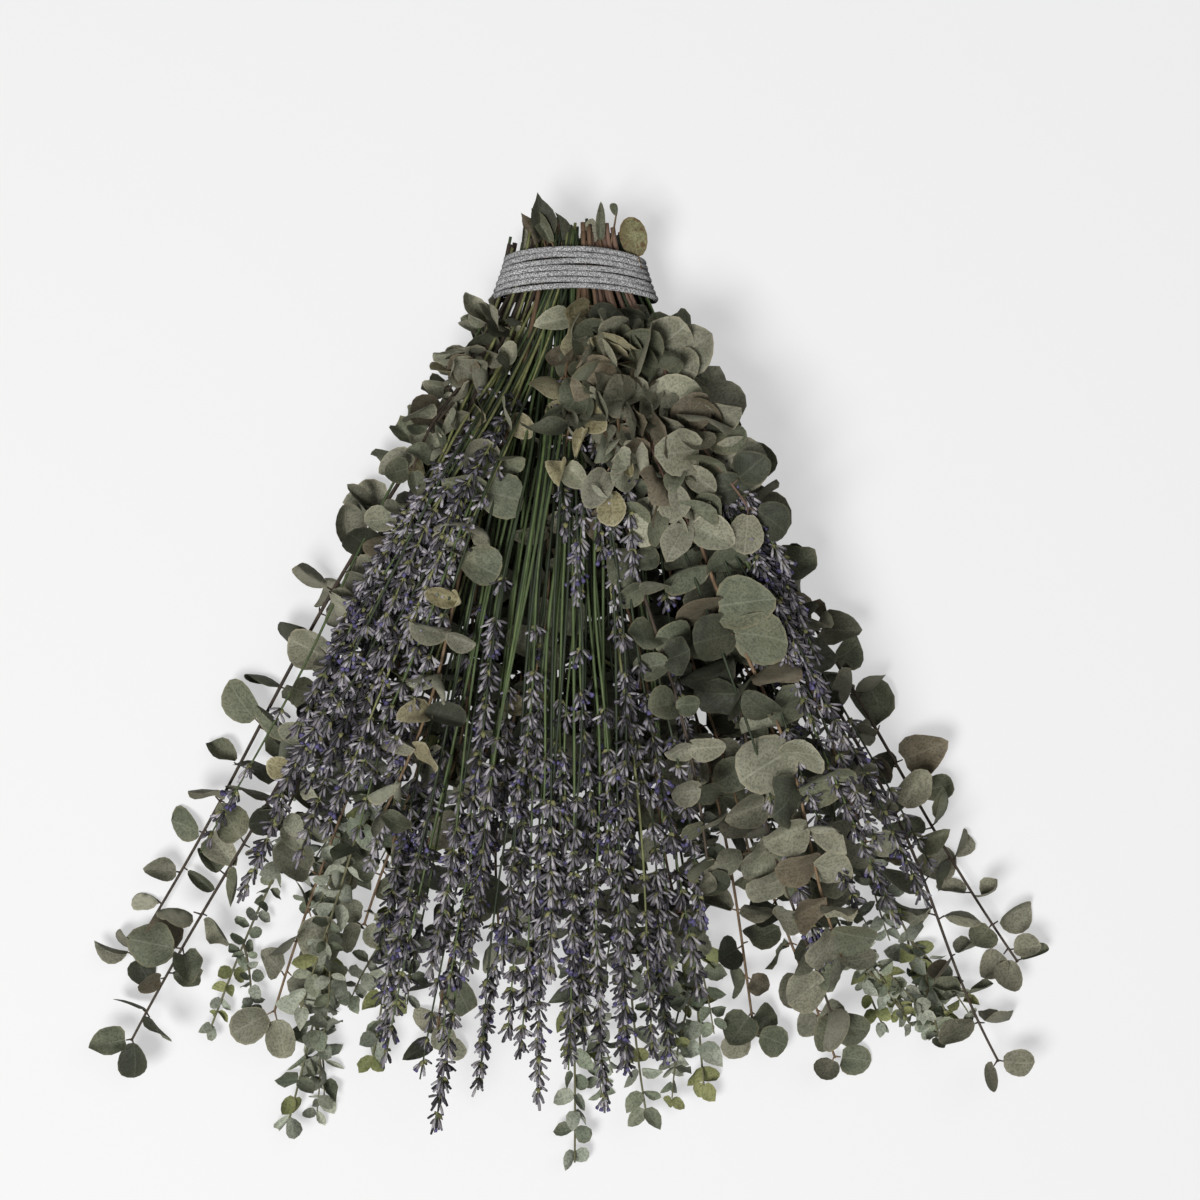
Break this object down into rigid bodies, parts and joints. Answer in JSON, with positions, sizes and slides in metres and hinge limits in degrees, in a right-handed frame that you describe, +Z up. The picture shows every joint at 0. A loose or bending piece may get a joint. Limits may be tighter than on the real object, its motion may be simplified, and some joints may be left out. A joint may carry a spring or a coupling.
{
  "type": "dried flower bouquet",
  "caption": "Dried bunch of lavender and eucalyptus, spread like a fan and bound near its cut ends with wound cord, lying on its side.",
  "frame": {"origin": "middle of the base of the whole bunch as it lies on a surface", "axes": "-Y from the tie towards the tips, +Y towards the cut ends, +Z up through the bunch's thickness"},
  "size_m": [0.5386, 0.5366, 0.0897],
  "materials": {
    "silver_dollar_eucalyptus": "dull dry leaf on a brown woody stem",
    "baby_blue_eucalyptus": "dull bloomy dry leaf on a thin brown stem",
    "lavender": "dry grey-purple flowers on a green stem",
    "cotton_cord": "grey twisted cotton"
  },
  "bodies": {
    "root": {"baby_blue_01": "baby_blue_eucalyptus", "baby_blue_02": "baby_blue_eucalyptus", "baby_blue_03": "baby_blue_eucalyptus", "baby_blue_04": "baby_blue_eucalyptus", "baby_blue_05": "baby_blue_eucalyptus", "baby_blue_06": "baby_blue_eucalyptus", "baby_blue_07": "baby_blue_eucalyptus", "baby_blue_08": "baby_blue_eucalyptus", "baby_blue_09": "baby_blue_eucalyptus", "lavender_01": "lavender", "lavender_02": "lavender", "lavender_03": "lavender", "lavender_04": "lavender", "lavender_05": "lavender", "lavender_06": "lavender", "lavender_07": "lavender", "lavender_08": "lavender", "lavender_09": "lavender", "lavender_10": "lavender", "lavender_11": "lavender", "lavender_12": "lavender", "lavender_13": "lavender", "lavender_14": "lavender", "lavender_15": "lavender", "lavender_16": "lavender", "lavender_17": "lavender", "lavender_18": "lavender", "lavender_19": "lavender", "lavender_20": "lavender", "lavender_21": "lavender", "lavender_22": "lavender", "lavender_23": "lavender", "lavender_24": "lavender", "silver_dollar_01": "silver_dollar_eucalyptus", "silver_dollar_02": "silver_dollar_eucalyptus", "silver_dollar_03": "silver_dollar_eucalyptus", "silver_dollar_04": "silver_dollar_eucalyptus", "silver_dollar_05": "silver_dollar_eucalyptus", "silver_dollar_06": "silver_dollar_eucalyptus", "silver_dollar_07": "silver_dollar_eucalyptus", "silver_dollar_08": "silver_dollar_eucalyptus", "silver_dollar_09": "silver_dollar_eucalyptus", "silver_dollar_10": "silver_dollar_eucalyptus", "silver_dollar_11": "silver_dollar_eucalyptus", "silver_dollar_12": "silver_dollar_eucalyptus", "silver_dollar_13": "silver_dollar_eucalyptus", "silver_dollar_14": "silver_dollar_eucalyptus", "silver_dollar_15": "silver_dollar_eucalyptus", "silver_dollar_16": "silver_dollar_eucalyptus", "tie_cord": "cotton_cord"}
  },
  "joints": []
}
